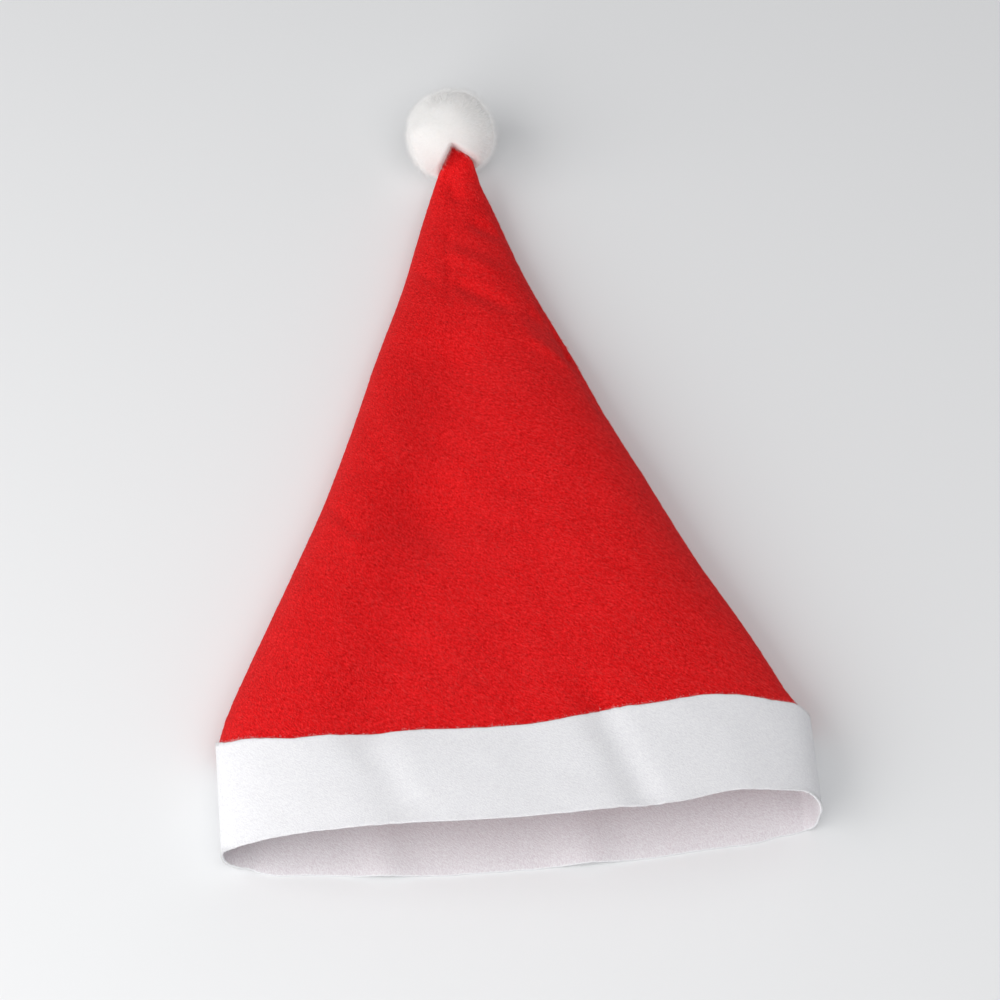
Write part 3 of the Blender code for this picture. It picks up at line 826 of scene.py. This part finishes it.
# Soften the opening's edges by the mean of five neighbours round the ball and of three up and down
beside = [np.roll(core_reach, turn, 1) for turn in (-2, -1, 1, 2)]
core_reach = (core_reach + sum(beside)) / 5
padded = np.concatenate([core_reach[:1], core_reach, core_reach[-1:]])
core_reach = (padded[:-2] + padded[1:-1] + padded[2:]) / 3
plush_reach = np.minimum(core_reach, open_reach)


def plush_at(directions):
    """The softened reach of the plush in any direction, read from the grid's nearest place."""
    tilt = np.arcsin(np.clip(directions[:, 2], -1, 1))
    turn = np.arctan2(directions[:, 1], directions[:, 0]) % (2 * pi)
    rows = np.rint((pi / 2 - tilt) / pi * CORE_ROWS).astype(int)
    columns = np.rint(turn / (2 * pi) * CORE_COLUMNS).astype(int) % CORE_COLUMNS
    return plush_reach[rows, columns]


def pile_paths(count, seed):
    """Curved hairs from the ball's dense inside to its surface and a little beyond, fewer the further
    out, cut short at the opening."""
    rng = np.random.default_rng(seed)
    heading = unit(spiral_directions(count) + rng.normal(size=(count, 3)) * PILE_SCATTER)
    curl = unit(rng.normal(size=(count, 3)))
    reach = plush_at(heading)
    root = reach - PILE_DEPTH - HAIR_ROOT
    reach = reach - HAIR_SHORT + PILE_FRINGE * rng.uniform(0, 1, count) ** 2
    steps = []
    for part in (0.0, 0.5, 1.0):
        aim = unit(heading + curl * PILE_CURL * part ** 2)
        steps.append(heart + aim * (root + (reach - root) * part)[:, None])
    paths = np.stack(steps, axis=1)
    paths[..., 2] = np.maximum(paths[..., 2], HAIR_LOWEST)
    return paths


core_points = heart + core_heading * (plush_reach - PILE_DEPTH)[..., None]
core_points[..., 2] = np.maximum(core_points[..., 2], CORE_LOWEST)
pompom_core = ring_mesh("pompom_core", core_points, cloth_coordinates(core_points), closed=False)
close_poles(pompom_core)
pompom_core.data.materials.append(white_plush)
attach(pompom_core, "root")
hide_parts("pompom")

for number in range(PILE_PIECES):
    paths = pile_paths(PILE_COUNT, 40 + number)
    pile = strands(f"pompom_pile_{number + 1}", paths, PILE_RADIUS, white_hair)
    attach(pile, "root")


# Table, light and camera
# A matt white table, a large soft window light low on the left and a pale room, seen steeply from above.

TABLE_SIZE = 6.0
TABLE_COLOUR = (0.80, 0.81, 0.82)

table_mesh = bpy.data.meshes.new("table")
half = TABLE_SIZE / 2
corners = [(-half, -half, 0), (half, -half, 0), (half, half, 0), (-half, half, 0)]
table_mesh.from_pydata(corners, [], [(0, 1, 2, 3)])
table = bpy.data.objects.new("table", table_mesh)
bpy.context.scene.collection.objects.link(table)
table_material = bpy.data.materials.new("table_white")
table_material.use_nodes = True
table_shader = table_material.node_tree.nodes["Principled BSDF"]
table_shader.inputs["Base Color"].default_value = (*TABLE_COLOUR, 1.0)
table_shader.inputs["Roughness"].default_value = 0.6
table_shader.inputs["Specular IOR Level"].default_value = 0.3
table_mesh.materials.append(table_material)


def area_light(name, place, size, power, colour):
    """A flat light of the given size, turned towards the middle of the hat."""
    lamp = bpy.data.lights.new(name, "AREA")
    lamp.shape = "RECTANGLE"
    lamp.size, lamp.size_y = size
    lamp.energy = power
    lamp.color = colour
    light = bpy.data.objects.new(name, lamp)
    light.location = place
    light.rotation_euler = (-Vector(place)).to_track_quat("-Z", "Y").to_euler()
    bpy.context.scene.collection.objects.link(light)


area_light("window", (-1.0, -0.50, 0.75), (1.9, 1.5), 20.5, (1.0, 0.99, 0.98))
area_light("overhead", (0.3, -0.7, 1.7), (1.4, 1.4), 13.0, (1.0, 0.99, 0.99))
area_light("room", (1.3, 0.2, 0.9), (1.6, 1.2), 2.7, (0.99, 0.99, 1.0))

world = bpy.data.worlds.new("room")
world.use_nodes = True
world.node_tree.nodes["Background"].inputs["Color"].default_value = (0.97, 0.98, 1.0, 1.0)
world.node_tree.nodes["Background"].inputs["Strength"].default_value = 0.21
bpy.context.scene.world = world
bpy.context.scene.view_settings.view_transform = "Standard"

CAMERA_AZIMUTH = radians(-4.6)
CAMERA_ELEVATION = radians(62)
CAMERA_DISTANCE = 1.136
CAMERA_TARGET = Vector((MOUTH_PLACE[0] + 0.0045, MOUTH_PLACE[1] + 0.1862, 0.0))

back = Vector((
    sin(CAMERA_AZIMUTH) * cos(CAMERA_ELEVATION),
    -cos(CAMERA_AZIMUTH) * cos(CAMERA_ELEVATION),
    sin(CAMERA_ELEVATION),
))
lens = bpy.data.cameras.new("camera")
lens.lens = 85
lens.sensor_width = 36
camera = bpy.data.objects.new("camera", lens)
camera.location = CAMERA_TARGET + back * CAMERA_DISTANCE
camera.rotation_euler = back.to_track_quat("Z", "Y").to_euler()
bpy.context.scene.collection.objects.link(camera)
bpy.context.scene.camera = camera
